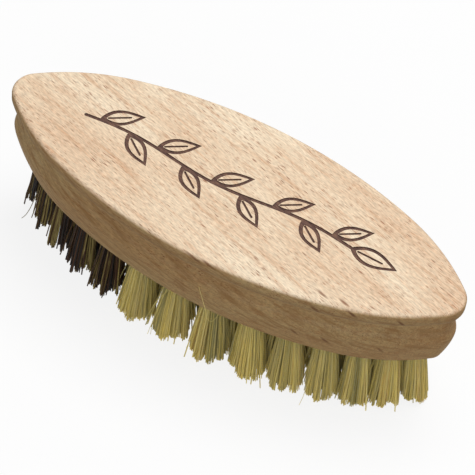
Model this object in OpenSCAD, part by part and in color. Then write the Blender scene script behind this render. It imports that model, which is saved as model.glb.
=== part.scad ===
// Hand vegetable brush: an eye-shaped beech block with a finger groove routed round its side,
// and tufts of plant fibre that wire anchors hold, folded, in blind holes in the underside.
// Lengths are in millimetres and turns in degrees. The brush stands on its bristle tips at z = 0,
// centred on the origin, with its long axis along X and its pale bristles towards +X.

/* [Block] */
// Length of the block from tip to tip
block_l = 135; // [115:1:155]
// Width of the block across its lip
block_w = 50; // [44:0.5:56]
// Thickness of the block
block_t = 23; // [18:0.5:30]
// Radius of each tip, seen from above
tip_r = 6.75; // [6:0.25:9]
// Turn of the outline from the middle to the end of the long side arc
side_turn = 18; // [12:1:20]
// Turn of the outline from the middle to the start of the tip arc
tip_turn = 42.5; // [40:0.5:46]

/* [Edge] */
// Radius of the top edge
top_round = 1.3; // [0.8:0.1:2.5]
// Height from the top down to where the lip starts to curve in
lip_h = 3; // [2.6:0.1:4.5]
// Depth of the finger groove
groove_depth = 2.3; // [1:0.1:3]
// Height from the top down to the deepest line of the groove
groove_drop = 7.4; // [6:0.1:10]
// Distance that the body under the groove is set in from the lip
bulge_inset = 0.9; // [0.2:0.1:1.8]
// Height from the top down to the widest line of the body under the groove
bulge_drop = 13.5; // [11:0.5:15]
// Distance that the underside is set in from the lip
foot_inset = 3.1; // [1.5:0.1:3.4]

/* [Tuft holes] */
// Diameter of each tuft hole
hole_d = 5; // [4:0.1:5.5]
// Depth of each tuft hole
hole_depth = 10.5; // [8:0.5:13]
// Distance from the edge of the underside to the outer row
row_inset = 6; // [5:0.25:7]
// Tufts along each side of the outer row, between its two end tufts
outer_count = 12; // [8:1:12]
// Tufts along each side of the inner row, between its two end tufts
inner_count = 6; // [3:1:6]
// Distance between the tufts on the centre line
middle_pitch = 14.4; // [12:0.2:16]
// Tufts on the centre line, inside the inner row
middle_count = 3; // [1:1:3]
// Outward lean of the outer row
outer_lean = 6; // [0:0.5:8]
// Outward lean of the inner row
inner_lean = 3; // [0:0.5:5]

/* [Bristles] */
// Free length of the bristles, from the underside to their trimmed tips
bristle_l = 21.5; // [14:1:30]
// Share of the brush that is filled with dark fibre
dark_share = 0.33; // [0.1:0.01:0.9]
// Strands in each tuft
strand_count = 10; // [8:1:11]
// Radius of a strand where it leaves the wood
strand_root_r = 0.45; // [0.3:0.05:0.5]
// Radius of a strand half way down
strand_waist_r = 0.7; // [0.4:0.05:0.75]
// Radius of a strand at its tip
strand_tip_r = 0.85; // [0.3:0.05:0.9]
// Spread of a tuft's tips from its middle, for the tufts half way along the brush
flare_middle = 4.3; // [2.5:0.1:4.3]
// Spread of a tuft's tips from its middle, for the tufts at the ends of the brush
flare_end = 3.2; // [2:0.1:3.4]
// Most that a strand falls short of the trimmed length
ragged = 3; // [0:0.5:5]

/* [Anchors] */
// Thickness of the flat wire that an anchor is cut from
anchor_t = 0.4; // [0.3:0.05:0.6]
// Width of the flat wire, along the hole
anchor_w = 2.2; // [1.8:0.1:3]
// Distance that each end of an anchor bites into the wood
anchor_bite = 0.4; // [0.2:0.05:0.5]
// Thickness of the folded fibre between an anchor and the bottom of its hole
fold_t = 1.6; // [1:0.1:2.5]

/* [Fits] */
// Clearance round the folded fibre in its hole
fibre_clear = 0.05; // [0.03:0.01:0.15]
// Clearance round an anchor in the wood and in the fibre
anchor_clear = 0.05; // [0.02:0.01:0.1]

/* [Hidden] */
// Height of the underside, and of the flat top, above the bristle tips
under_z = bristle_l;
top_z = under_z + block_t;

// The outline is three arcs a quarter, each running smoothly into the next: a long side arc about a
// point on the Y axis, a flank arc, and a tip arc about a point on the X axis. The two larger radii
// follow from where the arcs have to start and end, as the answer to a pair of linear equations.
half_l = block_l / 2;
half_w = block_w / 2;
reach_x = half_l - tip_r + tip_r * sin(tip_turn);
reach_y = half_w - tip_r * cos(tip_turn);
turn_sin = sin(tip_turn) - sin(side_turn);
turn_cos = cos(side_turn) - cos(tip_turn);
side_sag = 1 - cos(side_turn);
solve = sin(side_turn) * turn_cos - turn_sin * side_sag;
side_r = (reach_x * turn_cos - reach_y * turn_sin) / solve;
flank_r = (reach_y * sin(side_turn) - reach_x * side_sag) / solve;
side_centre = [0, half_w - side_r];
flank_centre = side_centre + (side_r - flank_r) * [sin(side_turn), cos(side_turn)];
tip_centre = [half_l - tip_r, 0];

// Steps that each curved stretch of the edge is drawn in, and each arc of a quarter of the outline
round_steps = 4;
curve_steps = 5;
side_steps = 6;
flank_steps = 7;
tip_steps = 7;
// Rate at which the body draws in towards the underside: over 1, it is slow at first
foot_rate = 1.5;
// Facets of a full turn of a drilled hole
hole_fn = 32;
// Overlap that lets a drilled hole run clear of the face it starts from
cut_over = 1;

// Distance from the outline to the outer row, and to the inner row half way from it to the centre line
outer_inset = foot_inset + row_inset;
inner_inset = (outer_inset + half_w) / 2;
// Turn of a circle, from the middle of a row to its end, that is shared out evenly among its tufts
// and then seen from the side, so that they close up towards the ends
outer_closing_turn = 66;
inner_closing_turn = 60;
// Lean of the tufts on the centre line
no_lean = 0;

// Depth inside the hole at which the strands leave the folded fibre
fibre_recess = 0.4;
// Depth that each strand is let into the folded fibre
strand_seat = 0.8;
// Sides of a strand and of the bundle of folded fibre
strand_sides = 3;
bundle_sides = 8;
// Radius that the strands' roots fill, as a share of the hole's
root_fill = 0.68;
// Share of the spread that a strand has reached half way down
half_spread = 0.42;
// Turn between one strand and the next, which packs them evenly, and between one tuft and the next
strand_turn = 137.5;
tuft_turn = 40;
// The bristles are cut flat at their trimmed length, this far short of how they grew
trim_cut = 0.5;
// Share of the strands that reach the trimmed length
trimmed_share = 0.5;

// Point on the outline's inset curve at a distance x along the brush, on the far side, with the
// heading of the outline there, as [x, y, heading]
function arc_point(x, centre, r) =
    let(y = centre.y + sqrt(max(0, r ^ 2 - (x - centre.x) ^ 2)))
    [x, y, atan2(y - centre.y, x - centre.x)];
function inset_point(x, inset) =
    x < 0 ? let(p = inset_point(-x, inset)) [x, p.y, 180 - p.z]
    : x <= (side_r - inset) * sin(side_turn) ? arc_point(x, side_centre, side_r - inset)
    : inset >= tip_r || x <= flank_centre.x + (flank_r - inset) * sin(tip_turn)
        ? arc_point(x, flank_centre, flank_r - inset)
    : arc_point(x, tip_centre, tip_r - inset);

// Where the inset curve meets the X axis, on whichever arc reaches it first
function axis_point(centre, r) = centre.x + sqrt(r ^ 2 - centre.y ^ 2);
function inset_end(inset) =
    side_centre.y + (side_r - inset) * cos(side_turn) < 0 ? axis_point(side_centre, side_r - inset)
    : inset >= tip_r ? axis_point(flank_centre, flank_r - inset)
    : half_l - inset;

// A row of tufts on both sides of the brush and at its two ends, each as [x, y, heading, lean]
function row_spots(inset, count, closing_turn, lean) =
    let(end_x = inset_end(inset))
    concat(
        [for (side = [-1, 1]) [side * end_x, 0, side < 0 ? 180 : 0, lean]],
        [for (k = [1 : count], side = [-1, 1])
            let(u = 2 * k / (count + 1) - 1)
            let(p = inset_point(end_x * sin(closing_turn * u) / sin(closing_turn), inset))
            [p.x, side * p.y, side * p.z, lean]]);

middle_spots =
    [for (k = [0 : middle_count - 1]) [(k - (middle_count - 1) / 2) * middle_pitch, 0, 0, no_lean]];
spots = concat(
    row_spots(outer_inset, outer_count, outer_closing_turn, outer_lean),
    row_spots(inner_inset, inner_count, inner_closing_turn, inner_lean),
    middle_spots);

dark_limit = (2 * dark_share - 1) * inset_end(outer_inset);
dark_spots = [for (s = spots) if (s.x < dark_limit) s];
pale_spots = [for (s = spots) if (s.x >= dark_limit) s];

function two_digits(n) = str(n < 10 ? "0" : "", n);
dark_names = [for (i = [1 : len(dark_spots)]) str("dark_tuft_", two_digits(i))];
pale_names = [for (i = [1 : len(pale_spots)]) str("pale_tuft_", two_digits(i))];

// The edge of the block, from the underside up to the flat top, as [distance in from the lip, height]
function ease(t) = (1 - cos(180 * t)) / 2;
edge = concat(
    [for (i = [0 : curve_steps - 1])
        let(t = 1 - i / curve_steps)
        [bulge_inset + (foot_inset - bulge_inset) * t ^ foot_rate,
            top_z - bulge_drop - (block_t - bulge_drop) * t]],
    [for (i = [0 : curve_steps - 1])
        let(t = i / curve_steps)
        [bulge_inset + (groove_depth - bulge_inset) * ease(t),
            top_z - bulge_drop + (bulge_drop - groove_drop) * t]],
    [for (i = [0 : curve_steps])
        let(t = i / curve_steps)
        [groove_depth * (1 - ease(t)), top_z - groove_drop + (groove_drop - lip_h) * t]],
    [for (i = [0 : round_steps])
        let(a = 90 * i / round_steps)
        [top_round * (1 - cos(a)), top_z - top_round * (1 - sin(a))]]);

// Turns of the outline, from the middle of a side to a tip, at which the block has its corners
corner_turns = concat(
    [for (i = [0 : side_steps - 1]) side_turn * i / side_steps],
    [for (i = [0 : flank_steps - 1]) side_turn + (tip_turn - side_turn) * i / flank_steps],
    [for (i = [0 : tip_steps]) tip_turn + (90 - tip_turn) * i / tip_steps]);

// Point where the outline has made a turn, set in from the lip
function turn_point(turn, inset) =
    let(out = [sin(turn), cos(turn)])
    turn <= side_turn ? side_centre + (side_r - inset) * out
    : turn <= tip_turn ? flank_centre + (flank_r - inset) * out
    : tip_centre + (tip_r - inset) * out;

// Ring of points round the block at one line of its edge, clockwise from above
function block_ring(inset, z) =
    let(quarter = [for (turn = corner_turns) turn_point(turn, inset)])
    let(last = len(quarter) - 1)
    concat(
        [for (i = [0 : last]) [quarter[i].x, quarter[i].y, z]],
        [for (i = [last - 1 : -1 : 0]) [quarter[i].x, -quarter[i].y, z]],
        [for (i = [1 : last]) [-quarter[i].x, -quarter[i].y, z]],
        [for (i = [last - 1 : -1 : 1]) [-quarter[i].x, quarter[i].y, z]]);

// The block before it is drilled, with its routed edge
module block_shell() {
    n = 4 * (len(corner_turns) - 1);
    rings = len(edge);
    polyhedron(
        points = [for (line = edge) each block_ring(line.x, line.y)],
        faces = concat(
            [[for (i = [n - 1 : -1 : 0]) i]],
            [for (k = [0 : rings - 2], i = [0 : n - 1])
                [k * n + i, k * n + (i + 1) % n, (k + 1) * n + (i + 1) % n]],
            [for (k = [0 : rings - 2], i = [0 : n - 1])
                [k * n + i, (k + 1) * n + (i + 1) % n, (k + 1) * n + i]],
            [[for (i = [0 : n - 1]) (rings - 1) * n + i]]));
}

// Carries a tuft's hole, fibre or anchor to its spot, with its mouth in the underside
module at_spot(s) {
    translate([s.x, s.y, under_z])
        rotate([0, 0, s[2]])
            rotate([0, -s[3], 0])
                rotate([0, 0, -s[2]])
                    children();
}

// Flat wire across a hole, made larger all round by the clearance of the slot it sits in
module anchor_bar(clear) {
    translate([0, 0, hole_depth - fold_t - anchor_w / 2])
        cube([hole_d + 2 * anchor_bite + 2 * clear, anchor_t + 2 * clear, anchor_w + 2 * clear],
            center = true);
}

module beech_block() {
    color("#dcb98f")
        difference() {
            block_shell();
            for (s = spots)
                at_spot(s) {
                    translate([0, 0, -cut_over])
                        cylinder(d = hole_d, h = hole_depth + cut_over, $fn = hole_fn);
                    anchor_bar(anchor_clear);
                }
        }
}

module wire_anchors() {
    color("#b9b9b4")
        for (s = spots)
            at_spot(s)
                anchor_bar(0);
}

// A strand's middle at a height z, as its tuft leans and its own offset spreads
function strand_ring(s, offset, r, z, twist) =
    let(lean_out = (under_z - z) * tan(s[3]))
    let(centre = [s.x, s.y] + lean_out * [cos(s[2]), sin(s[2])] + offset)
    [for (i = [0 : strand_sides - 1])
        let(a = twist + 360 * i / strand_sides)
        [centre.x + r * cos(a), centre.y + r * sin(a), z]];

// One strand: horizontal rings from inside the folded fibre down to its tip
module strand(s, root, tip, tip_z, twist) {
    root_z = under_z + fibre_recess + strand_seat;
    waist_z = (under_z + tip_z) / 2;
    waist = root + (tip - root) * half_spread;
    n = strand_sides;
    polyhedron(
        points = concat(
            strand_ring(s, root, strand_root_r, root_z, twist),
            strand_ring(s, waist, strand_waist_r, waist_z, twist),
            strand_ring(s, tip, strand_tip_r, tip_z, twist)),
        faces = concat(
            [[for (i = [n - 1 : -1 : 0]) i]],
            [for (ring = [0, n], i = [0 : n - 1]) [ring + i, ring + (i + 1) % n, ring + n + i]],
            [for (ring = [0, n], i = [0 : n - 1])
                [ring + (i + 1) % n, ring + n + (i + 1) % n, ring + n + i]],
            [[for (i = [0 : n - 1]) 2 * n + i]]));
}

// A tuft: folded fibre in its hole, slotted for the anchor, with its strands fanning out below
module tuft(s, number) {
    spread = flare_middle + (flare_end - flare_middle) * (s.x / inset_end(outer_inset)) ^ 2;
    grown = (bristle_l + trim_cut) / bristle_l;
    lengths = rands(0, 1, strand_count, number);
    at_spot(s)
        difference() {
            translate([0, 0, fibre_recess])
                cylinder(d = hole_d - 2 * fibre_clear, h = hole_depth - fibre_recess - fibre_clear,
                    $fn = bundle_sides);
            anchor_bar(anchor_clear);
        }
    for (i = [0 : strand_count - 1]) {
        a = i * strand_turn + number * tuft_turn;
        out = sqrt((2 * i + 1) / (2 * strand_count));
        short = max(0, lengths[i] - trimmed_share) / (1 - trimmed_share);
        root = out * root_fill * hole_d / 2 * [cos(a), sin(a)];
        tip = out * spread / grown * [cos(a), sin(a)];
        strand(s, root, tip, ragged * short, a);
    }
}

module dark_tuft(number) {
    color("#3b3023")
        tuft(dark_spots[number - 1], number);
}

module pale_tuft(number) {
    color("#b3a566")
        tuft(pale_spots[number - 1], number + len(dark_spots));
}

beech_block();
wire_anchors();
for (i = [1 : len(dark_names)])
    dark_tuft(i);
for (i = [1 : len(pale_names)])
    pale_tuft(i);
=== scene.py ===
"""Hand vegetable brush: a beech block with a burnt-in leafy sprig, and tufts of dark and of pale plant fibre.

Lengths are written in millimetres and turned to metres where a mesh is made. The brush stands on its
bristle tips at z = 0, with its long axis along X and its pale bristles towards +X.
"""
import math

import bpy
import numpy as np
from mathutils import Matrix, Vector


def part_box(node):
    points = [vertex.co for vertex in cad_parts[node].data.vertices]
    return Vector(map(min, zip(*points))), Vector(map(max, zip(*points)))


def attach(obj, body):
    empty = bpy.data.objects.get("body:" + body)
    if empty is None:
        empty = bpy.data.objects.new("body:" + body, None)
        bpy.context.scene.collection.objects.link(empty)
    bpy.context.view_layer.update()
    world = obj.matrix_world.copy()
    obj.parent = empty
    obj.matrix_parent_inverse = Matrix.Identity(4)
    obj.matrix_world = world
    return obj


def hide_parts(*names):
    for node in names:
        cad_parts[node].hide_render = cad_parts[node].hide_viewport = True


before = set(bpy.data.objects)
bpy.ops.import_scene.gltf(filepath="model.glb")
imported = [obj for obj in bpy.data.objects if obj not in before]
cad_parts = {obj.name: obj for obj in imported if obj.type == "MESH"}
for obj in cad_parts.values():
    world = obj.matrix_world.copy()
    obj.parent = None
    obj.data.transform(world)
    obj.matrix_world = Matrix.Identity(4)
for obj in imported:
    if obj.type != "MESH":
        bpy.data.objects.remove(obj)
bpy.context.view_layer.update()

MM = 0.001

# Block, from the frame: its corners, its underside and its flat top
block_low, block_high = (np.array(corner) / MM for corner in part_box("beech_block"))
HALF_LENGTH = block_high[0]
HALF_WIDTH = block_high[1]
UNDERSIDE = block_low[2]
TOP = block_high[2]

# Outline of the block: turns of its side arc and of its flank arc, and the radius of its tips
SIDE_TURN = math.radians(18)
TIP_TURN = math.radians(42.5)
TIP_RADIUS = 6.75

# Edge of the block: top rounding, lip, finger groove and the body below it, down from the top
TOP_ROUND = 1.3
LIP_HEIGHT = 3.0
GROOVE_DEPTH = 2.3
GROOVE_DROP = 7.4
BULGE_INSET = 0.9
BULGE_DROP = 13.5
FOOT_INSET = 3.1
FOOT_RATE = 1.5
# The sharp lower corner is broken with sandpaper
FOOT_BREAK = 0.25
# Faces up the foot, up each half of the groove and round the top edge, and round each arc of a quarter
FOOT_FACES = 12
GROOVE_FACES = 10
ROUND_FACES = 8
ARC_FACES = (26, 26, 20)
# Edges that turn more than this stay crisp
CRISP_EDGE = math.radians(32)

# Tuft holes. The outer row's middles lie this far in from the edge of the foot, and the inner row lies half
# way between them and the middle
HOLE_RADIUS = 2.5
HOLE_DEPTH = 10.5
HOLE_EDGE = 6.0
OUTER_INSET = FOOT_INSET + HOLE_EDGE
INNER_INSET = (OUTER_INSET + HALF_WIDTH) / 2
OUTER_LEAN = math.radians(6)
INNER_LEAN = math.radians(3)
# Holes of a row on each side of the brush, and the turn in degrees at which a circle's even turns end
OUTER_HOLES = 12
OUTER_CLOSING = 66
INNER_HOLES = 6
INNER_CLOSING = 60
MIDDLE_PITCH = 14.4
# The drill starts below the wood and has a blunt cone at its tip
DRILL_BELOW = 1.0
DRILL_POINT = 0.6
DRILL_POINT_RADIUS = 0.4
DRILL_SIDES = 32


def outline_arcs():
    """Centre and radius of the side, flank and tip arcs. Each arc runs smoothly into the next, so the two
    larger radii are the answer to two linear equations on where the arcs have to end."""
    reach_x = HALF_LENGTH - TIP_RADIUS + TIP_RADIUS * math.sin(TIP_TURN)
    reach_y = HALF_WIDTH - TIP_RADIUS * math.cos(TIP_TURN)
    turns = np.array([
        [math.sin(SIDE_TURN), math.sin(TIP_TURN) - math.sin(SIDE_TURN)],
        [1 - math.cos(SIDE_TURN), math.cos(SIDE_TURN) - math.cos(TIP_TURN)],
    ])
    side_radius, flank_radius = np.linalg.solve(turns, [reach_x, reach_y])
    side_centre = np.array([0, HALF_WIDTH - side_radius])
    heading = np.array([math.sin(SIDE_TURN), math.cos(SIDE_TURN)])
    flank_centre = side_centre + (side_radius - flank_radius) * heading
    tip_centre = np.array([HALF_LENGTH - TIP_RADIUS, 0])
    radii = np.array([side_radius, flank_radius, TIP_RADIUS])
    return np.array([side_centre, flank_centre, tip_centre]), radii


ARC_CENTRES, ARC_RADII = outline_arcs()


def outline(turns, inset):
    """Points of the outline where it has turned by the given angles from the middle of its far side, moved
    in by the inset: the arc's centre plus its shortened radius towards the turn. The other three quarters
    of the outline mirror the first."""
    folded = np.arcsin(np.abs(np.sin(turns)))
    arc = np.searchsorted([SIDE_TURN, TIP_TURN], folded)
    radius = ARC_RADII[arc] - inset
    x = ARC_CENTRES[arc, 0] + radius * np.sin(folded)
    y = ARC_CENTRES[arc, 1] + radius * np.cos(folded)
    return np.sign(np.sin(turns)) * x, np.sign(np.cos(turns)) * y


def full_turns(side_steps, flank_steps, tip_steps):
    """Turns all round the outline, clockwise from above, evenly spaced within each arc of a quarter."""
    quarter = np.concatenate([
        np.linspace(0, SIDE_TURN, side_steps, endpoint=False),
        np.linspace(SIDE_TURN, TIP_TURN, flank_steps, endpoint=False),
        np.linspace(TIP_TURN, np.pi / 2, tip_steps, endpoint=False),
    ])
    half = np.concatenate([quarter, [np.pi / 2], np.pi - quarter[:0:-1]])
    return np.concatenate([half, half + np.pi])


def edge_line():
    """Edge of the block from its underside up to its flat top, as distances in from the lip and heights:
    a body that draws in to the foot as a power of the way down, two half cosine waves for the groove, and a
    quarter circle at the top."""
    down = np.linspace(1, 0, FOOT_FACES, endpoint=False)
    foot = [BULGE_INSET + (FOOT_INSET - BULGE_INSET) * down ** FOOT_RATE,
            TOP - BULGE_DROP - (TOP - BULGE_DROP - UNDERSIDE - FOOT_BREAK) * down]
    up = np.linspace(0, 1, GROOVE_FACES, endpoint=False)
    ease = (1 - np.cos(np.pi * up)) / 2
    below_groove = [BULGE_INSET + (GROOVE_DEPTH - BULGE_INSET) * ease,
                    TOP - BULGE_DROP + (BULGE_DROP - GROOVE_DROP) * up]
    above_groove = [GROOVE_DEPTH * (1 - ease), TOP - GROOVE_DROP + (GROOVE_DROP - LIP_HEIGHT) * up]
    lip = [[0.0], [TOP - LIP_HEIGHT]]
    turn = np.linspace(0, np.pi / 2, ROUND_FACES + 1)
    rounding = [TOP_ROUND * (1 - np.cos(turn)), TOP - TOP_ROUND * (1 - np.sin(turn))]
    broken_corner = [[FOOT_INSET + FOOT_BREAK], [UNDERSIDE]]
    return np.concatenate([broken_corner, foot, below_groove, above_groove, lip, rounding], axis=1)


def mesh_piece(name, points, faces, smooth=True):
    """A mesh object of points in millimetres and a list of face arrays, each array of one face size."""
    mesh = bpy.data.meshes.new(name)
    mesh.vertices.add(len(points))
    mesh.vertices.foreach_set("co", (np.asarray(points) * MM).ravel())
    sizes = np.concatenate([np.full(len(part), part.shape[1]) for part in faces])
    corners = np.concatenate([part.ravel() for part in faces])
    mesh.loops.add(len(corners))
    mesh.loops.foreach_set("vertex_index", corners.astype(np.int32))
    mesh.polygons.add(len(sizes))
    mesh.polygons.foreach_set("loop_start", (np.cumsum(sizes) - sizes).astype(np.int32))
    mesh.polygons.foreach_set("use_smooth", np.full(len(sizes), smooth))
    mesh.update(calc_edges=True)
    mesh.validate()
    piece = bpy.data.objects.new(name, mesh)
    bpy.context.scene.collection.objects.link(piece)
    return piece


def tube_faces(tubes, rings, sides, looped=False):
    """Faces of many like tubes, whose points are numbered by tube, ring and side. Sides run anticlockwise
    round the way that the rings advance. The ends are capped, unless the rings loop back to the start."""
    tube = np.arange(tubes)[:, None, None] * rings * sides
    ring = np.arange(rings if looped else rings - 1)[None, :, None]
    side = np.arange(sides)[None, None, :]
    next_ring = (ring + 1) % rings
    next_side = (side + 1) % sides
    walls = np.stack([tube + ring * sides + side, tube + ring * sides + next_side,
                      tube + next_ring * sides + next_side, tube + next_ring * sides + side], axis=-1)
    faces = [walls.reshape(-1, 4)]
    if not looped:
        first = tube[:, 0, 0][:, None] + np.arange(sides)[::-1]
        last = tube[:, 0, 0][:, None] + (rings - 1) * sides + np.arange(sides)
        faces += [first, last]
    return faces


def cut(piece, tool):
    """Cuts the tool's solids out of the piece. The cut faces keep the tool's material."""
    modifier = piece.modifiers.new("cut", "BOOLEAN")
    modifier.object = tool
    modifier.operation = "DIFFERENCE"
    modifier.solver = "EXACT"
    modifier.material_mode = "TRANSFER"
    modifier.use_self = True
    evaluated = piece.evaluated_get(bpy.context.evaluated_depsgraph_get())
    finished = bpy.data.meshes.new_from_object(evaluated)
    piece.modifiers.clear()
    piece.data = finished
    bpy.data.objects.remove(tool)


def axis_reach(inset):
    """Where the outline's inset curve meets the X axis: on the tip arc, or on the flank arc once the inset
    is larger than the tip's radius."""
    if inset < TIP_RADIUS:
        return HALF_LENGTH - inset
    return ARC_CENTRES[1, 0] + math.sqrt((ARC_RADII[1] - inset) ** 2 - ARC_CENTRES[1, 1] ** 2)


def row_spots(inset, count, closing_turn, lean):
    """Tuft spots of one row as x, y, heading and lean: even turns of a circle, seen from the side, give the
    distances along the brush, and the arc above each distance gives the rest."""
    end = axis_reach(inset)
    closing = math.radians(closing_turn)
    x = end * np.sin(closing * (2 * np.arange(1, count + 1) / (count + 1) - 1)) / math.sin(closing)
    arc = (np.abs(x) > (ARC_RADII[0] - inset) * math.sin(SIDE_TURN)).astype(int)
    y = ARC_CENTRES[arc, 1] + np.sqrt((ARC_RADII[arc] - inset) ** 2 - (np.abs(x) - ARC_CENTRES[arc, 0]) ** 2)
    heading = np.arctan2(y - ARC_CENTRES[arc, 1], np.sign(x) * (np.abs(x) - ARC_CENTRES[arc, 0]))
    far = np.stack([x, y, heading, np.full(count, lean)], axis=1)
    near = far * [1, -1, -1, 1]
    ends = np.array([[-end, 0, np.pi, lean], [end, 0, 0, lean]])
    return np.concatenate([ends, far, near])


MIDDLE_SPOTS = np.array([[step * MIDDLE_PITCH, 0, 0, 0] for step in (-1, 0, 1)])
SPOTS = np.concatenate([
    row_spots(OUTER_INSET, OUTER_HOLES, OUTER_CLOSING, OUTER_LEAN),
    row_spots(INNER_INSET, INNER_HOLES, INNER_CLOSING, INNER_LEAN),
    MIDDLE_SPOTS,
])
TUFT_NODES = sorted(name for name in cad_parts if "_tuft_" in name)


def nearest_spot(node):
    """The spot whose tuft this node holds: the nearest one to the middle of its box."""
    low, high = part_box(node)
    middle = (np.array(low) + np.array(high))[:2] / 2 / MM
    return SPOTS[np.argmin(np.hypot(*(SPOTS[:, :2] - middle).T))]


def drill_bits():
    """Drills for the tuft holes: round solids with a blunt cone at the tip, leaning out with their tuft."""
    around = 2 * np.pi * np.arange(DRILL_SIDES) / DRILL_SIDES
    reach = np.array([-DRILL_BELOW, HOLE_DEPTH, HOLE_DEPTH + DRILL_POINT])
    radius = np.array([HOLE_RADIUS, HOLE_RADIUS, DRILL_POINT_RADIUS])
    x, y, heading, lean = SPOTS.T[:, :, None, None]
    out = np.broadcast_to(radius[None, :, None] * np.cos(around), (len(SPOTS), len(reach), DRILL_SIDES))
    across = np.broadcast_to(radius[None, :, None] * np.sin(around), out.shape)
    along = np.broadcast_to(reach[None, :, None], out.shape)
    away = out * np.cos(lean) - along * np.sin(lean)
    points = np.stack([
        x + away * np.cos(heading) - across * np.sin(heading),
        y + away * np.sin(heading) + across * np.cos(heading),
        UNDERSIDE + along * np.cos(lean) + out * np.sin(lean),
    ], axis=-1)
    return mesh_piece("drill_bits", points.reshape(-1, 3), tube_faces(len(SPOTS), len(reach), DRILL_SIDES))


# Sprig burnt into the flat top: a waving stem with leaves on alternate sides and one at its end
STROKE = 1.0
VEIN = 0.6
BURN_DEPTH = 0.3
# The burning iron's bars stand this far above the top
IRON_ABOVE = 1
STEM_FROM = -46.0
STEM_TO = 35.0
STEM_WAVE = 1.2
SIDE_LEAVES = 9
# How far in from the stem's ends the first and the last side leaf grow
FIRST_LEAF = 5
LAST_LEAF = 6
# How far from the stem's middle line the side leaves start, and from its end the end leaf
LEAF_GAP = 0.9
END_LEAF_GAP = 0.2
LEAF_TURN = math.radians(36)
LEAF_LENGTH = 10.5
# How much shorter each side leaf is than the one before it
LEAF_SHORTENING = 0.12
END_LEAF_LENGTH = 12.0
# Half the width of a leaf, and how far its two ends run on beside the stroke's own width, as shares
LEAF_HALF_WIDTH = 0.21
LEAF_POINT = 1.6
# Below 1, a leaf is widest nearer its base
LEAF_BALANCE = 0.8
# Where a leaf's vein starts and how long it is, as shares of the leaf's length
VEIN_START = 0.1
VEIN_LENGTH = 0.62
# A round end is drawn as far as this share of its radius, so that its last faces keep some width
ROUND_END = 0.97
# Points of a round end, a vein, the stem and a leaf's edge
END_POINTS = 6
VEIN_POINTS = 6
STEM_POINTS = 70
LEAF_POINTS = 32


def stem_height(x):
    """The stem's wave: one and a half sine periods over its length."""
    return STEM_WAVE * np.sin(3 * np.pi * (x - STEM_FROM) / (STEM_TO - STEM_FROM))


def burn_bar(inner, outer):
    """A burning iron's edge between two like paths in the plane of the top: a flat-sided bar from the burn's
    floor to above the top."""
    low = TOP - BURN_DEPTH
    high = TOP + IRON_ABOVE
    corners = [(inner, low), (outer, low), (outer, high), (inner, high)]
    return np.stack([np.column_stack([path, np.full(len(path), z)]) for path, z in corners], axis=1)


def line_bar(path, width):
    """The bar of an open stroke: its path moved half a width to each side, drawn in to round ends."""
    ahead = np.gradient(path, axis=0)
    travelled = np.concatenate([[0], np.cumsum(np.hypot(*np.diff(path, axis=0).T))])
    to_end = np.minimum(travelled, travelled[-1] - travelled)
    short_by = np.clip(1 - to_end / (width / 2), 0, ROUND_END)
    half = width / 2 * np.sqrt(1 - short_by ** 2)
    left = np.stack([-ahead[:, 1], ahead[:, 0]], axis=1) / np.hypot(*ahead.T)[:, None] * half[:, None]
    return burn_bar(path - left, path + left)


def line_steps(length, width, count):
    """Distances along an open stroke, evenly spaced between the closer steps that round its two ends."""
    ends = width / 2 * (1 - np.cos(np.linspace(0, np.pi / 2, END_POINTS)))
    middle = np.linspace(ends[-1], length - ends[-1], count)
    return np.concatenate([ends[:-1], middle, length - ends[-2::-1]])


def leaf_edge(base, heading, length, grow):
    """One edge of a leaf's stroke: half a sine wave on each side of the leaf's middle line, widest nearer the
    base and pointed at both ends, made larger all round by grow."""
    way = np.array([math.cos(heading), math.sin(heading)])
    left = np.array([-way[1], way[0]])
    turn = 2 * np.pi * np.arange(LEAF_POINTS) / LEAF_POINTS
    share = (1 - np.cos(turn)) / 2
    along = share * length + (2 * share - 1) * LEAF_POINT * grow
    across = np.sign(np.sin(turn)) * (LEAF_HALF_WIDTH * length + grow) * np.sin(np.pi * share ** LEAF_BALANCE)
    return base + along[:, None] * way + across[:, None] * left


def leaf_bars(base, heading, length):
    """A leaf's looped stroke, and the straight vein that runs into it from its base."""
    half = STROKE / 2
    loop = burn_bar(leaf_edge(base, heading, length, -half), leaf_edge(base, heading, length, half))
    way = np.array([math.cos(heading), math.sin(heading)])
    steps = VEIN_START * length + line_steps(VEIN_LENGTH * length, VEIN, VEIN_POINTS)
    return [(loop, True), (line_bar(base + steps[:, None] * way, VEIN), False)]


def sprig_bars():
    """All bars of the sprig, and whether each loops."""
    stem_x = STEM_FROM + line_steps(STEM_TO - STEM_FROM, STROKE, STEM_POINTS)
    bars = [(line_bar(np.column_stack([stem_x, stem_height(stem_x)]), STROKE), False)]
    for index, x in enumerate(np.linspace(STEM_FROM + FIRST_LEAF, STEM_TO - LAST_LEAF, SIDE_LEAVES)):
        side = 1 if index % 2 == 0 else -1
        base = np.array([x, stem_height(x) + LEAF_GAP * side])
        bars += leaf_bars(base, side * LEAF_TURN, LEAF_LENGTH - LEAF_SHORTENING * index)
    end = np.array([STEM_TO + END_LEAF_GAP, stem_height(STEM_TO)])
    return bars + leaf_bars(end, 0, END_LEAF_LENGTH)


def burning_iron():
    """The sprig's bars as separate solids of one tool."""
    points = []
    faces = []
    first = 0
    for bar, looped in sprig_bars():
        points.append(bar.reshape(-1, 3))
        rings, sides = bar.shape[:2]
        faces += [part + first for part in tube_faces(1, rings, sides, looped)]
        first += rings * sides
    return mesh_piece("burning_iron", np.concatenate(points), faces)


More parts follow.
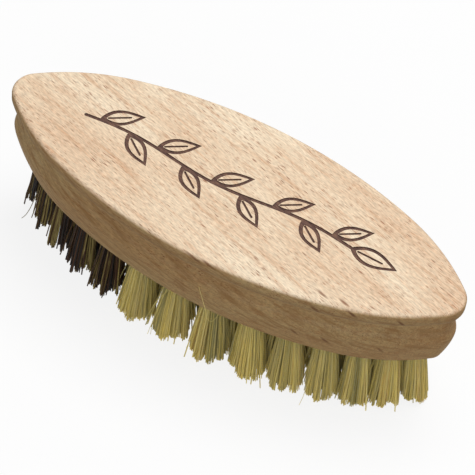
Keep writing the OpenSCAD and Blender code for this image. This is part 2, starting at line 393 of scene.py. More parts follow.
def beech_block(wood, burnt):
    """The block: rings of the outline, set in and raised as the edge line says, with flat ends, drilled from
    below and burnt on top."""
    turns = full_turns(*ARC_FACES)
    inset, height = edge_line()
    x, y = outline(turns[None, :], inset[:, None])
    points = np.stack([x, y, np.broadcast_to(height[:, None], x.shape)], axis=-1)
    faces = tube_faces(1, len(inset), len(turns))
    faces = [part[:, ::-1] for part in faces]
    block = mesh_piece("beech_handle_block", points.reshape(-1, 3), faces)
    block.data.materials.append(wood)
    bits = drill_bits()
    bits.data.materials.append(wood)
    cut(block, bits)
    iron = burning_iron()
    iron.data.materials.append(burnt)
    cut(block, iron)
    block.data.set_sharp_from_angle(angle=CRISP_EDGE)
    return block


# The two kinds of tuft. The spread is how far its tips lie from its middle, half way along the brush and at
# the ends. Ragged is how much shorter its shortest clumps are, and pulled is the least and the most that a
# clump draws its tips together. The clump tone is the part of a fibre's tone that it shares with its clump.
# The drift is how far use has combed the tips along the brush
PALE = {"fibres": 540, "radius": 0.16, "spread": (5.5, 4.3), "ragged": 1.9, "pulled": (0.05, 0.4),
        "clump_tone": 0.4, "drift": 1.6}
DARK = {"fibres": 300, "radius": 0.18, "spread": (6.0, 3.2), "ragged": 3.8, "pulled": (0.35, 0.9),
        "clump_tone": 0.5, "drift": 0.0}

# Places along the brush between which a tuft's spread falls, and how it varies from tuft to tuft
SPREAD_FALL = (8.0, 58.0)
SPREAD_VARIES = (0.95, 1.05)
# What the inner tufts' spread gains over the outer ones', as they have more room
INNER_GAIN = 1.55
# Places along the brush between which the tips have drifted, most of all midway
DRIFT_RANGE = (-14, 62)

# Clumps of a tuft, how far out their middles lie, and how much these and the tips are scattered, as shares
CLUMPS = 13
CLUMP_REACH = 0.95
CLUMP_SCATTER = 0.08
TIP_SCATTER = 0.04
# Fibres that have come loose, as a share, and how far they stray and may stray at most
LOOSE_SHARE = 0.03
LOOSE_STRAY = 1.5
LOOSE_LIMIT = 2 * LOOSE_STRAY
# What the raggedness is made of: clump by clump, fibre by fibre, and from a clump's middle to its rim. The
# first two are drawn from beta distributions, whose shapes give many small cuts and a few deep ones
CLUMP_CUT = 0.6
CLUMP_CUT_SHAPE = (0.8, 1.4)
FIBRE_CUT = 0.14
FIBRE_CUT_SHAPE = (0.7, 2.0)
RIM_CUT = 0.4
# So much of the cut leaves the longest tips level, and tips end between these heights above the table
LEVEL_CUT = 0.1
LOWEST_TIP = 0.02
HIGHEST_TIP = 0.4 * UNDERSIDE

# A fibre: its sides, the length held in the hole, and its rings below the wood as shares of its free length
FIBRE_SIDES = 3
HELD_LENGTH = 6.0
FIBRE_RINGS = np.array([0, 0.14, 0.32, 0.54, 0.77, 1.0])
# Thickness of a fibre in the hole and at each of those rings, and how it varies from fibre to fibre
FIBRE_FULLNESS = np.array([0.75, 0.75, 0.8, 0.95, 1.05, 1.15, 1.1])
FIBRE_SIZES = (0.75, 1.15)
# Below 1, a fibre spreads soonest near the wood
FIBRE_BOW = 0.68
# Wave of a fibre, how much that grows to the tip, and how often it swings
FIBRE_WAVE = 0.14
WAVE_GROWTH = 1.2
WAVE_CYCLES = (0.6, 1.4)
# Turn of a fibre about itself for each unit of its tone, large enough to look random
TWIST_BY_TONE = 40
# The golden angle, and the range of a turn that is drawn at random
GOLDEN_TURN = math.radians(137.5)
ANY_TURN = (0, 6.28)

# Fibres that have left their tufts: steps between two of their points, thickness left at the tip, and tone
STRAY_STEPS = 6
STRAY_TIP = 0.6
STRAY_TONE = 0.7


def sunflower(count, first=0):
    """Evenly packed points in a circle of radius 1: turns of the golden angle, the radius growing as the
    root of the count."""
    index = np.arange(count)
    radius = np.sqrt((index + 0.5) / count)
    turn = first + index * GOLDEN_TURN
    return radius[:, None] * np.column_stack([np.cos(turn), np.sin(turn)])


def fibre_piece(name, points, tone):
    """Many like tubes from points numbered by fibre, ring and side, with each fibre's tone, and how far a
    point lies along its fibre, kept as attributes."""
    count, rings, sides = points.shape[:3]
    piece = mesh_piece(name, points.reshape(-1, 3), tube_faces(count, rings, sides), smooth=False)
    per_point = {
        "fibre_tone": np.repeat(tone, rings * sides),
        "fibre_along": np.tile(np.repeat(np.linspace(0, 1, rings), sides), count),
    }
    for key, values in per_point.items():
        piece.data.attributes.new(key, "FLOAT", "POINT").data.foreach_set("value", values.astype(np.float32))
    return piece


def bristle_tuft(name, node, kind, seed):
    """One tuft. A fibre starts in the hole and leaves it at its own place of an even packing. Its tip lies at
    the like place of a wider packing, pulled towards the middle of its clump, and between them it follows a
    line that spreads soonest near the wood, with a small wave. Clumps are cut to uneven lengths, and each is
    pointed, as its outer fibres are shorter. A few loose fibres stray from the rest."""
    x, y, heading, lean = nearest_spot(node)
    fibres = kind["fibres"]
    radius = kind["radius"]
    draw = np.random.default_rng(seed)
    place = sunflower(fibres, draw.uniform(*ANY_TURN))
    root = place * (HOLE_RADIUS - radius)
    spread = np.interp(abs(x), SPREAD_FALL, kind["spread"]) * draw.uniform(*SPREAD_VARIES)
    if lean < OUTER_LEAN:
        spread *= INNER_GAIN
    clump_place = sunflower(CLUMPS, draw.uniform(*ANY_TURN)) * CLUMP_REACH
    clump_place += draw.normal(0, CLUMP_SCATTER, clump_place.shape)
    apart = np.hypot(*(place[:, None, :] - clump_place[None, :, :]).transpose(2, 0, 1))
    clump = np.argmin(apart, axis=1)
    pull = draw.uniform(*kind["pulled"], CLUMPS)[clump][:, None]
    tip = place + pull * (clump_place[clump] - place) + draw.normal(0, TIP_SCATTER, place.shape)
    tip *= spread
    tip[:, 0] += kind["drift"] * math.sin(math.pi * np.interp(x, DRIFT_RANGE, (0, 1)))
    loose = draw.random(fibres) < LOOSE_SHARE
    tip[loose] += np.clip(draw.normal(0, LOOSE_STRAY, (loose.sum(), 2)), -LOOSE_LIMIT, LOOSE_LIMIT)
    # Distance from the clump's middle, in clump radii of 1 over the root of their number
    off_clump = apart.min(axis=1) * CLUMPS ** 0.5
    by_clump = draw.beta(*CLUMP_CUT_SHAPE, CLUMPS)[clump]
    by_fibre = draw.beta(*FIBRE_CUT_SHAPE, fibres)
    short = kind["ragged"] * (CLUMP_CUT * by_clump + FIBRE_CUT * by_fibre + RIM_CUT * off_clump ** 2)
    tip_height = np.clip(short - LEVEL_CUT, LOWEST_TIP, HIGHEST_TIP)

    way_out = np.array([math.cos(heading), math.sin(heading)])
    step = FIBRE_RINGS
    bow = step ** FIBRE_BOW
    wave = draw.normal(0, FIBRE_WAVE, (fibres, 2))
    cycles = draw.uniform(*WAVE_CYCLES, fibres)[:, None]
    start = draw.uniform(*ANY_TURN, fibres)[:, None]
    swing = np.sin(2 * np.pi * cycles * step + start) * step * WAVE_GROWTH
    z = UNDERSIDE - (UNDERSIDE - tip_height[:, None]) * step
    centre = np.array([x, y]) + (UNDERSIDE - z)[:, :, None] * math.tan(lean) * way_out
    spot = centre + root[:, None, :] + (tip - root)[:, None, :] * bow[None, :, None]
    spot += wave[:, None, :] * swing[:, :, None]
    held = np.array([x, y]) - HELD_LENGTH * math.tan(lean) * way_out + root
    paths = np.concatenate([
        np.concatenate([held, np.full((fibres, 1), UNDERSIDE + HELD_LENGTH)], axis=1)[:, None, :],
        np.concatenate([spot, z[:, :, None]], axis=2),
    ], axis=1)
    thickness = radius * draw.uniform(*FIBRE_SIZES, fibres)[:, None] * FIBRE_FULLNESS
    shared = kind["clump_tone"]
    tone = shared * draw.random(CLUMPS)[clump] + (1 - shared) * draw.random(fibres)
    around = 2 * np.pi * np.arange(FIBRE_SIDES) / FIBRE_SIDES + tone[:, None] * TWIST_BY_TONE
    ring = np.stack([np.cos(around), -np.sin(around), np.zeros_like(around)], axis=-1)
    points = paths[:, :, None, :] + thickness[:, :, None, None] * ring[:, None, :, :]
    tuft = fibre_piece(name, points, tone)
    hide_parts(node)
    return tuft


def stray_fibres(name, through, radius):
    """Single fibres that have left their tufts: a smooth curve through the given points of each, by the
    cubic that leaves and reaches every point along the line between its neighbours."""
    steps = np.linspace(0, 1, STRAY_STEPS, endpoint=False)[:, None]
    by_here = 2 * steps ** 3 - 3 * steps ** 2 + 1
    by_leaving = steps ** 3 - 2 * steps ** 2 + steps
    by_there = 3 * steps ** 2 - 2 * steps ** 3
    by_reaching = steps ** 3 - steps ** 2
    paths = []
    for points in np.array(through, float):
        slopes = np.gradient(points, axis=0)
        parts = [by_here * here + by_leaving * leaving + by_there * there + by_reaching * reaching
                 for here, there, leaving, reaching in zip(points, points[1:], slopes, slopes[1:])]
        paths.append(np.concatenate(parts + [points[-1:]]))
    paths = np.array(paths)
    count, rings = paths.shape[:2]
    ahead = np.gradient(paths, axis=1)
    ahead /= np.linalg.norm(ahead, axis=2, keepdims=True)
    across = np.cross(ahead, [1.0, 0.0, 0.0])
    across /= np.linalg.norm(across, axis=2, keepdims=True)
    third = np.cross(ahead, across)
    around = 2 * np.pi * np.arange(FIBRE_SIDES) / FIBRE_SIDES
    thickness = radius * np.linspace(1, STRAY_TIP, rings)[None, :, None, None]
    ring = np.cos(around)[:, None] * across[:, :, None, :] + np.sin(around)[:, None] * third[:, :, None, :]
    points = paths[:, :, None, :] + thickness * ring
    return fibre_piece(name, points, np.full(count, STRAY_TONE))


def linear(code):
    """An sRGB hex colour as linear RGBA."""
    parts = np.array([int(code[i:i + 2], 16) for i in (1, 3, 5)]) / 255
    light = np.where(parts <= 0.04045, parts / 12.92, ((parts + 0.055) / 1.055) ** 2.4)
    return (*light, 1.0)


def add(tree, kind, inputs=None, stops=None, **settings):
    """Adds a node with its settings, its ramp stops, and its inputs set or linked by name or number."""
    node = tree.nodes.new(kind)
    for key, value in settings.items():
        setattr(node, key, value)
    for key, value in (inputs or {}).items():
        if isinstance(value, bpy.types.NodeSocket):
            tree.links.new(value, node.inputs[key])
        else:
            node.inputs[key].default_value = value
    if stops:
        marks = node.color_ramp.elements
        while len(marks) < len(stops):
            marks.new(0.5)
        for mark, (position, code) in zip(marks, stops):
            mark.position = position
            mark.color = linear(code)
    return node


def material(name):
    """A new material with an empty node tree, and the tree."""
    made = bpy.data.materials.new(name)
    made.use_nodes = True
    made.node_tree.nodes.clear()
    return made, made.node_tree


# Sockets of a colour Mix node
FACTOR = 0
A = 6
B = 7
RESULT = 2

# Darker ray sheets, tilted about the grain, where the near edge and side cut them: middle and half length
DARK_MARKS = [
    (2.0, -24.4, 43.4, 4.2),
    (6.6, -24.5, 43.6, 3.0),
    (35.5, -17.1, 44.5, 2.6),
    (41.5, -16.4, 44.5, 2.2),
    (35.6, -20.4, 41.8, 2.2),
    (44.4, -17.4, 43.0, 2.6),
    (56.0, -12.0, 41.6, 2.0),
    (30.8, -20.0, 28.5, 1.8),
    (38.8, -17.9, 28.3, 2.2),
    (44.8, -15.3, 28.8, 1.6),
    (51.5, -12.3, 28.1, 2.4),
]
MARK_HALF_WIDTH = 0.45
MARK_HALF_HEIGHT = 2.4
MARK_TILT = math.radians(35)

# Painted shade in the groove just under the lip, where the lip's overhang shades it: how far down, and how
# far to each side of that height
GROOVE_SHADE_DROP = 4.2
GROOVE_SHADE_REACH = 2.8

# The grain runs a little askew to the long axis
GRAIN_TURN = math.radians(-15)
# The growth rings cut by the routed side go down towards the pale end
GRAIN_DIVE = math.radians(20)

# Sizes of the beech's figure, along and across the grain, and for the rings up the side too. A Mapping node
# holds them, so that every texture's own scale is 1
CLOUD_SIZE = (45, 14)
STREAK_SIZE = (15, 1.3)
RING_SIZE = (12, 6, 1.3)
# Cut rays show in some patches more than in others
PATCH_SIZE = (22, 9)
# Rays, pores and wood fibre are about 0.1 mm wide, too fine to show, so they are drawn two to four times
# as wide
LONG_RAY_SIZE = (3.4, 0.42)
SHORT_RAY_SIZE = (2.2, 0.28)
WOOD_FIBRE_SIZE = (1.9, 0.42)
BURNT_GRAIN_SIZE = (2.0, 0.5)
# Rays are at their full strength where their chance is this far over the rarest
CHANCE_REACH = 0.65
# How deep the grain stands, sanded and burnt
DENT_DEPTH = 0.06
BURNT_DENT_DEPTH = 0.1


def sanded_beech():
    """Beech, planed, routed and sanded, with a thin coat of oil: pale and warm, faintly cloudy, with soft
    growth streaks and the short brown dashes that the cut rays and pores leave. The routed side shows the
    growth rings that it cuts, and is darkened deeper and more golden than the top as painted shade, as it
    gets less light."""
    made, tree = material("sanded_beech")
    place = add(tree, "ShaderNodeTexCoord")
    turned = add(tree, "ShaderNodeVectorRotate", {"Vector": place.outputs["Object"], "Angle": -GRAIN_TURN},
                 rotation_type="Z_AXIS").outputs["Vector"]

    def stretched(long, wide):
        """The place measured in pattern lengths along and across the grain, given in millimetres."""
        scale = (1 / (long * MM), 1 / (wide * MM), 1 / (wide * MM))
        return add(tree, "ShaderNodeMapping", {"Vector": turned, "Scale": scale}).outputs["Vector"]

    def laid_over(tint, share, code):
        """The tint with a colour mixed in by the share."""
        return add(tree, "ShaderNodeMix", {FACTOR: share, A: tint, B: linear(code)},
                   data_type="RGBA").outputs[RESULT]

    def dashes(size, core, rim, rarest, strength):
        """Short dashes along the grain, one at the middle of some of the cells of a stretched pattern: full
        inside the core, gone at the rim, both as shares of a cell, and stronger in the cells whose chance is
        further over the rarest."""
        cell = add(tree, "ShaderNodeTexVoronoi", {
            "Scale": 1.0, "Vector": stretched(*size), "Randomness": 1.0})
        near = add(tree, "ShaderNodeMapRange", {
            "Value": cell.outputs["Distance"], "From Min": core, "From Max": rim,
            "To Min": 1.0, "To Max": 0.0})
        chance = add(tree, "ShaderNodeSeparateColor", {"Color": cell.outputs["Color"]}).outputs["Red"]
        some = add(tree, "ShaderNodeMapRange", {
            "Value": chance, "From Min": rarest, "From Max": rarest + CHANCE_REACH})
        dash = add(tree, "ShaderNodeMath", {0: near.outputs["Result"], 1: some.outputs["Result"]},
                   operation="MULTIPLY").outputs["Value"]
        return add(tree, "ShaderNodeMath", {0: dash, 1: strength}, operation="MULTIPLY").outputs["Value"]

    cloud = add(tree, "ShaderNodeTexNoise", {
        "Scale": 1.0, "Vector": stretched(*CLOUD_SIZE), "Detail": 2.0, "Roughness": 0.5})
    tint = add(tree, "ShaderNodeValToRGB", {"Fac": cloud.outputs["Fac"]},
               stops=[(0.32, "#e3c5a5"), (0.5, "#ead1b2"), (0.66, "#f1ddc0")]).outputs["Color"]
    streak = add(tree, "ShaderNodeTexNoise", {
        "Scale": 1.0, "Vector": stretched(*STREAK_SIZE), "Detail": 4.0, "Roughness": 0.68})
    streak_at = add(tree, "ShaderNodeMapRange", {
        "Value": streak.outputs["Fac"], "From Min": 0.48, "From Max": 0.7, "To Max": 0.62})
    tint = laid_over(tint, streak_at.outputs["Result"], "#c9986f")

    patch = add(tree, "ShaderNodeTexNoise", {"Scale": 1.0, "Vector": stretched(*PATCH_SIZE), "Detail": 1.0})
    where = add(tree, "ShaderNodeMapRange", {
        "Value": patch.outputs["Fac"], "From Min": 0.38, "From Max": 0.6, "To Min": 0.2, "To Max": 1.0})
    long_rays = dashes(LONG_RAY_SIZE, core=0.14, rim=0.33, rarest=0.15, strength=where.outputs["Result"])
    tint = laid_over(tint, long_rays, "#874828")
    short_rays = dashes(SHORT_RAY_SIZE, core=0.1, rim=0.34, rarest=0.2, strength=0.85)
    tint = laid_over(tint, short_rays, "#a05c34")
    for x, y, z, half in DARK_MARKS:
        middle = Matrix.Rotation(-GRAIN_TURN, 3, "Z") @ (Vector((x, y, z)) * MM)
        beside = add(tree, "ShaderNodeVectorMath", {0: turned, 1: middle}, operation="SUBTRACT")
        tilted = add(tree, "ShaderNodeVectorRotate", {
            "Vector": beside.outputs["Vector"], "Angle": -MARK_TILT}, rotation_type="X_AXIS")
        scale = (1 / (half * MM), 1 / (MARK_HALF_WIDTH * MM), 1 / (MARK_HALF_HEIGHT * MM))
        measured = add(tree, "ShaderNodeVectorMath", {0: tilted.outputs["Vector"], 1: scale},
                       operation="MULTIPLY")
        out = add(tree, "ShaderNodeVectorMath", {0: measured.outputs["Vector"]}, operation="LENGTH")
        mark = add(tree, "ShaderNodeMapRange", {
            "Value": out.outputs["Value"], "From Min": 0.3, "From Max": 1.0, "To Min": 0.8, "To Max": 0.0})
        tint = laid_over(tint, mark.outputs["Result"], "#794424")

    fibre = add(tree, "ShaderNodeTexNoise", {
        "Scale": 1.0, "Vector": stretched(*WOOD_FIBRE_SIZE), "Detail": 2.0, "Roughness": 0.6})
    fine = add(tree, "ShaderNodeMapRange", {
        "Value": fibre.outputs["Fac"], "From Min": 0.3, "From Max": 0.7, "To Min": 0.75, "To Max": 1.12})
    tint = add(tree, "ShaderNodeMix", {FACTOR: 1.0, A: tint, B: fine.outputs["Result"]},
               data_type="RGBA", blend_type="MULTIPLY").outputs[RESULT]

    dived = add(tree, "ShaderNodeVectorRotate", {"Vector": turned, "Angle": -GRAIN_DIVE},
                rotation_type="Y_AXIS").outputs["Vector"]
    scale = tuple(1 / (size * MM) for size in RING_SIZE)
    ring_place = add(tree, "ShaderNodeMapping", {"Vector": dived, "Scale": scale}).outputs["Vector"]
    rings = add(tree, "ShaderNodeTexNoise", {
        "Scale": 1.0, "Vector": ring_place, "Detail": 3.0, "Roughness": 0.6})
    ring_at = add(tree, "ShaderNodeMapRange", {
        "Value": rings.outputs["Fac"], "From Min": 0.45, "From Max": 0.68, "To Max": 0.7})
    ringed = laid_over(tint, ring_at.outputs["Result"], "#b18a60")
    # Painted shade: the routed side is darkened by a multiply, as it gets less light than the top; the rings
    # laid on it are real grain
    rings_and_painted_shade = add(tree, "ShaderNodeMix", {FACTOR: 1.0, A: ringed, B: linear("#d2c29c")},
                data_type="RGBA", blend_type="MULTIPLY").outputs[RESULT]
    upright = add(tree, "ShaderNodeSeparateXYZ", {"Vector": place.outputs["Normal"]}).outputs["Z"]
    routed = add(tree, "ShaderNodeMapRange", {
        "Value": upright, "From Min": 0.3, "From Max": 0.85, "To Min": 1.0, "To Max": 0.0})
    tint = add(tree, "ShaderNodeMix", {FACTOR: routed.outputs["Result"], A: tint, B: rings_and_painted_shade},
               data_type="RGBA").outputs[RESULT]

    # Painted shade: the wood is darkened in a band just under the lip, where the lip shades the groove
    height = add(tree, "ShaderNodeSeparateXYZ", {"Vector": place.outputs["Object"]}).outputs["Z"]
    above = add(tree, "ShaderNodeMath", {0: height, 1: (TOP - GROOVE_SHADE_DROP) * MM}, operation="SUBTRACT")
    away = add(tree, "ShaderNodeMath", {0: above.outputs["Value"]}, operation="ABSOLUTE")
    painted_groove_shade = add(tree, "ShaderNodeMapRange", {
        "Value": away.outputs["Value"], "From Max": GROOVE_SHADE_REACH * MM, "To Min": 0.78, "To Max": 1.0},
        interpolation_type="SMOOTHSTEP")
    tint = add(tree, "ShaderNodeMix", {FACTOR: 1.0, A: tint, B: painted_groove_shade.outputs["Result"]},
               data_type="RGBA", blend_type="MULTIPLY").outputs[RESULT]

    rough = add(tree, "ShaderNodeMapRange", {"Value": fibre.outputs["Fac"], "To Min": 0.68, "To Max": 0.88})
    dents = add(tree, "ShaderNodeMath", {0: fibre.outputs["Fac"], 1: long_rays}, operation="SUBTRACT")
    bump = add(tree, "ShaderNodeBump", {
        "Height": dents.outputs["Value"], "Strength": 0.18, "Distance": DENT_DEPTH * MM})
    skin = add(tree, "ShaderNodeBsdfPrincipled", {
        "Base Color": tint, "Roughness": rough.outputs["Result"], "IOR": 1.5,
        "Normal": bump.outputs["Normal"]})
    add(tree, "ShaderNodeOutputMaterial", {"Surface": skin.outputs["BSDF"]})
    return made


def burnt_beech():
    """Beech scorched by a hot iron: matt dark brown, lighter where the grain resisted."""
    made, tree = material("burnt_beech")
    place = add(tree, "ShaderNodeTexCoord").outputs["Object"]
    turned = add(tree, "ShaderNodeVectorRotate", {"Vector": place, "Angle": -GRAIN_TURN},
                 rotation_type="Z_AXIS").outputs["Vector"]
    long, wide = BURNT_GRAIN_SIZE
    scale = (1 / (long * MM), 1 / (wide * MM), 1 / (wide * MM))
    close = add(tree, "ShaderNodeMapping", {"Vector": turned, "Scale": scale}).outputs["Vector"]
    grain = add(tree, "ShaderNodeTexNoise", {"Scale": 1.0, "Vector": close, "Detail": 3.0, "Roughness": 0.6})
    char = add(tree, "ShaderNodeValToRGB", {"Fac": grain.outputs["Fac"]},
               stops=[(0.3, "#3f2720"), (0.5, "#5b4036"), (0.72, "#7d5c49")])
    bump = add(tree, "ShaderNodeBump", {
        "Height": grain.outputs["Fac"], "Strength": 0.5, "Distance": BURNT_DENT_DEPTH * MM})
    skin = add(tree, "ShaderNodeBsdfPrincipled", {
        "Base Color": char.outputs["Color"], "Roughness": 0.85, "IOR": 1.5, "Normal": bump.outputs["Normal"]})
    add(tree, "ShaderNodeOutputMaterial", {"Surface": skin.outputs["BSDF"]})
    return made


# Sizes, along and across, of a plant fibre's streaks and of the wire's drawing lines. The lines are drawn
# coarser than real ones, which could not be told apart
FIBRE_STREAK_SIZE = (6, 0.5)
DRAWING_LINE_SIZE = (6, 0.15)


def plant_fibre(name, stops, root_shade, roughness, see_through):
    """Split plant fibre, combed straight: each fibre has its own tone from the ramp, with painted shade
    darkening it where it leaves the wood, fine lengthwise streaks and the slight gloss of a waxy skin. Thin
    fibre lets part of the light through, so that a tuft glows a little from inside."""
    made, tree = material(name)
    tone = add(tree, "ShaderNodeAttribute", attribute_name="fibre_tone").outputs["Fac"]
    along = add(tree, "ShaderNodeAttribute", attribute_name="fibre_along").outputs["Fac"]
    place = add(tree, "ShaderNodeTexCoord").outputs["Object"]
    long, wide = FIBRE_STREAK_SIZE
    scale = (1 / (wide * MM), 1 / (wide * MM), 1 / (long * MM))
    streaks = add(tree, "ShaderNodeMapping", {"Vector": place, "Scale": scale}).outputs["Vector"]
    mottle = add(tree, "ShaderNodeTexNoise", {"Scale": 1.0, "Vector": streaks, "Detail": 2.0})
    shift = add(tree, "ShaderNodeMapRange", {"Value": mottle.outputs["Fac"], "To Min": -0.12, "To Max": 0.12})
    mixed = add(tree, "ShaderNodeMath", {0: tone, 1: shift.outputs["Result"]}, operation="ADD")
    tint = add(tree, "ShaderNodeValToRGB", {"Fac": mixed.outputs["Value"]}, stops=stops)
    # Painted shade: each fibre is darkened towards the wood, where the tuft and the block shade it
    painted_root_shade = add(tree, "ShaderNodeMapRange", {
        "Value": along, "From Min": 0.1, "From Max": 0.6, "To Min": root_shade, "To Max": 1.0})
    shaded = add(tree, "ShaderNodeMix", {FACTOR: 1.0, A: tint.outputs["Color"], B: painted_root_shade.outputs["Result"]},
                 data_type="RGBA", blend_type="MULTIPLY")
    skin = add(tree, "ShaderNodeBsdfPrincipled", {
        "Base Color": shaded.outputs[RESULT], "Roughness": roughness, "IOR": 1.5})
    through = add(tree, "ShaderNodeBsdfTranslucent", {"Color": shaded.outputs[RESULT]})
    both = add(tree, "ShaderNodeMixShader", {
        0: see_through, 1: skin.outputs["BSDF"], 2: through.outputs["BSDF"]})
    add(tree, "ShaderNodeOutputMaterial", {"Surface": both.outputs["Shader"]})
    return made


def flat_wire():
    """Flattened galvanised steel wire: grey, with fine drawing lines along its length."""
    made, tree = material("flat_anchor_wire")
    place = add(tree, "ShaderNodeTexCoord").outputs["Object"]
    long, fine = DRAWING_LINE_SIZE
    scale = (1 / (long * MM), 1 / (long * MM), 1 / (fine * MM))
    lines = add(tree, "ShaderNodeMapping", {"Vector": place, "Scale": scale}).outputs["Vector"]
    drawn = add(tree, "ShaderNodeTexNoise", {"Scale": 1.0, "Vector": lines, "Detail": 2.0})
    tint = add(tree, "ShaderNodeValToRGB", {"Fac": drawn.outputs["Fac"]},
               stops=[(0.35, "#8f8f8b"), (0.65, "#b9b9b4")])
    skin = add(tree, "ShaderNodeBsdfPrincipled", {
        "Base Color": tint.outputs["Color"], "Metallic": 1.0, "Roughness": 0.35})
    add(tree, "ShaderNodeOutputMaterial", {"Surface": skin.outputs["BSDF"]})
    return made


def seen_directly(tree):
    """1 where the eye sees a surface itself, in a reflection or through something clear, and else 0."""
    path = add(tree, "ShaderNodeLightPath")
    seen = path.outputs["Is Camera Ray"]
    for ray in ("Is Glossy Ray", "Is Transmission Ray"):
        seen = add(tree, "ShaderNodeMath", {0: seen, 1: path.outputs[ray]},
                   operation="MAXIMUM").outputs["Value"]
    return seen


# Light, in metres and watts: a broad lamp overhead, a weaker one in front and a dim even room, so that the
# sides fall into soft shade
ROOM_LEVEL = 0.28
LAMP_AT = (0.08, 0.24, 0.97)
LAMP_SIZE = 0.6
LAMP_POWER = 7.6
FILL_AT = (0.35, -0.9, 0.5)
FILL_SIZE = 0.8
FILL_POWER = 2.4
FLOOR_SIZE = 1.6
# How much of the floor's look is plain white, the rest being lit and shaded
FLOOR_WHITE = 0.85
# How pale the lit floor is to the eye, and to the light that it sends back up. The second is low, so that the
# underside stays in deep shade
FLOOR_SEEN = 0.9
FLOOR_BOUNCE = 0.3


def studio():
    """A white room, a broad lamp above and a little behind, another in front, and a pale floor that keeps a
    soft shadow and is clear from below."""
    world = bpy.data.worlds.new("white_room")
    bpy.context.scene.world = world
    world.use_nodes = True
    tree = world.node_tree
    tree.nodes.clear()
    level = add(tree, "ShaderNodeMapRange", {
        "Value": seen_directly(tree), "To Min": ROOM_LEVEL, "To Max": 1.0})
    room = add(tree, "ShaderNodeBackground", {"Color": (1, 1, 1, 1), "Strength": level.outputs["Result"]})
    add(tree, "ShaderNodeOutputWorld", {"Surface": room.outputs["Background"]})

    lamps = [
        ("overhead_lamp", LAMP_AT, LAMP_SIZE, LAMP_POWER),
        ("fill_lamp", FILL_AT, FILL_SIZE, FILL_POWER),
    ]
    for name, place, size, power in lamps:
        lamp = bpy.data.lights.new(name, "AREA")
        lamp.size = size
        lamp.energy = power
        holder = bpy.data.objects.new(name, lamp)
        bpy.context.scene.collection.objects.link(holder)
        holder.location = place
        holder.rotation_euler = (-Vector(place)).to_track_quat("-Z", "Y").to_euler()

    half = FLOOR_SIZE / 2 / MM
    corners = np.array([[-half, -half, 0], [half, -half, 0], [half, half, 0], [-half, half, 0]])
    floor = mesh_piece("pale_floor", corners, [np.array([[0, 1, 2, 3]])], smooth=False)
    made, tree = material("pale_floor")
    seen = seen_directly(tree)
    shade = add(tree, "ShaderNodeMapRange", {"Value": seen, "To Min": FLOOR_BOUNCE, "To Max": FLOOR_SEEN})
    matt = add(tree, "ShaderNodeBsdfDiffuse", {"Color": shade.outputs["Result"]})
    white = add(tree, "ShaderNodeEmission", {"Color": (1, 1, 1, 1), "Strength": 1.0})
    share = add(tree, "ShaderNodeMath", {0: seen, 1: FLOOR_WHITE}, operation="MULTIPLY")
    top = add(tree, "ShaderNodeMixShader", {
        0: share.outputs["Value"], 1: matt.outputs["BSDF"], 2: white.outputs["Emission"]})
    clear = add(tree, "ShaderNodeBsdfTransparent")
    below = add(tree, "ShaderNodeNewGeometry").outputs["Backfacing"]
    both = add(tree, "ShaderNodeMixShader", {0: below, 1: top.outputs["Shader"], 2: clear.outputs["BSDF"]})
    add(tree, "ShaderNodeOutputMaterial", {"Surface": both.outputs["Shader"]})
    floor.data.materials.append(made)
    bpy.context.scene.view_settings.view_transform = "Standard"


# Camera: a long lens, high and turned from the near side, tipped a little clockwise
CAMERA_AZIMUTH = math.radians(24.33)
CAMERA_ELEVATION = math.radians(51.07)
CAMERA_ROLL = math.radians(7.95)
CAMERA_DISTANCE = 666
FILM_WIDTH = 36.0
LENS = 189.6
# Nearest and farthest that it sees, in metres
SEES_FROM = 0.05
SEES_TO = 10.0
# Point of the brush at the middle of the photograph
AIM = np.array([1.53, 2.64, UNDERSIDE + 1.43])


def photo_camera():
    """The camera stands at a distance from the middle of the underside and looks at the aim, rolled about
    its line of sight."""
    back = np.array([math.sin(CAMERA_AZIMUTH) * math.cos(CAMERA_ELEVATION),
                     -math.cos(CAMERA_AZIMUTH) * math.cos(CAMERA_ELEVATION),
                     math.sin(CAMERA_ELEVATION)])
    place = Vector((np.array([0, 0, UNDERSIDE]) + CAMERA_DISTANCE * back) * MM)
    lens = bpy.data.cameras.new("photo_camera")
    lens.sensor_width = FILM_WIDTH
    lens.lens = LENS
    lens.clip_start = SEES_FROM
    lens.clip_end = SEES_TO
    camera = bpy.data.objects.new("photo_camera", lens)
    bpy.context.scene.collection.objects.link(camera)
    sight = (Vector(AIM * MM) - place).to_track_quat("-Z", "Y").to_matrix().to_4x4()
    camera.matrix_world = Matrix.Translation(place) @ sight @ Matrix.Rotation(CAMERA_ROLL, 4, "Z")
    bpy.context.scene.camera = camera


studio()
photo_camera()

block = beech_block(sanded_beech(), burnt_beech())
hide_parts("beech_block")
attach(block, "root")

# Each kind's colours, in the order of the fibres' tones
dark_fibre = plant_fibre("dark_plant_fibre", [
    (0.0, "#0a0401"), (0.34, "#180b04"), (0.48, "#47290f"), (0.62, "#6e5930"), (0.76, "#c0ae6c"),
], root_shade=0.6, roughness=0.8, see_through=0.1)
pale_fibre = plant_fibre("pale_plant_fibre", [
    (0.0, "#c2bd8a"), (0.25, "#e4dba0"), (0.5, "#f3e8a8"), (0.8, "#fdf5bc"), (1.0, "#e4ca86"),
], root_shade=0.9, roughness=0.5, see_through=0.5)
finishes = {"dark": (DARK, dark_fibre, "dark_fibre"), "pale": (PALE, pale_fibre, "pale_fibre")}
for seed, node in enumerate(TUFT_NODES):
    kind, finish, slot = finishes[node.split("_")[0]]
    tuft = bristle_tuft(node.replace("_tuft_", "_bristles_"), node, kind, seed)
    tuft.data.materials.append(finish)
    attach(tuft, "root")
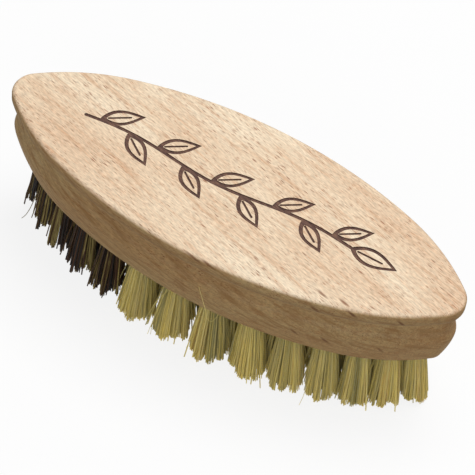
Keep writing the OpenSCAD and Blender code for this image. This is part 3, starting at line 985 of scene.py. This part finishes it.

# Points that the stray fibres pass through, set to lie as the photograph shows them
pale_strays = [
    # one lies up the side of the block
    [[8.9, -15.9, 21.4], [8.8, -18.2, 18.2], [8.3, -21.6, 17.6], [7.9, -23.6, 20.8], [7.4, -24.2, 24.6],
     [6.2, -24.5, 28.8], [4.8, -24.5, 33.0]],
    # three fan out between two tufts
    [[-5.3, -17.2, 21.4], [-6.4, -19.6, 19.0], [-7.2, -19.8, 16.0], [-7.6, -20.2, 13.5], [-7.9, -20.6, 11.0],
     [-8.6, -21.9, 6.0], [-9.3, -23.2, 0.6]],
    [[-5.5, -17.4, 21.4], [-6.5, -20.1, 18.5], [-7.0, -20.3, 16.5], [-7.4, -20.5, 14.5], [-8.1, -21.5, 9.5],
     [-8.5, -22.4, 4.6], [-8.5, -22.9, 0.8]],
    [[-5.0, -17.3, 21.4], [-5.8, -20.3, 19.5], [-6.4, -20.6, 18.2], [-7.0, -21.0, 17.0], [-8.2, -22.5, 14.5],
     [-8.8, -23.7, 12.0], [-9.3, -24.6, 9.5]],
    # one hangs from a gap further along
    [[36.0, -12.0, 21.4], [36.2, -14.0, 16.0], [36.3, -15.8, 11.0], [36.3, -17.1, 6.5], [36.3, -18.4, 4.0],
     [36.3, -19.5, 2.0], [36.2, -20.6, 0.4]],
]
dark_strays = [
    # one curls out at the dark end
    [[-55.5, -1.0, 21.4], [-56.0, -3.0, 16.0], [-56.3, -5.0, 11.0], [-56.8, -6.9, 6.8], [-57.3, -7.8, 4.4],
     [-58.0, -8.4, 2.4], [-58.9, -8.8, 0.9]],
]
# Their names, points, radii, materials and slots
strays = [
    ("pale_stray_fibres", pale_strays, 0.12, pale_fibre, "pale_fibre"),
    ("dark_stray_fibres", dark_strays, 0.16, dark_fibre, "dark_fibre"),
]
for name, through, radius, finish, slot in strays:
    stray = stray_fibres(name, through, radius)
    stray.data.materials.append(finish)
    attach(stray, "root")

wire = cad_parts["wire_anchors"]
wire.data.materials.clear()
wire.data.materials.append(flat_wire())
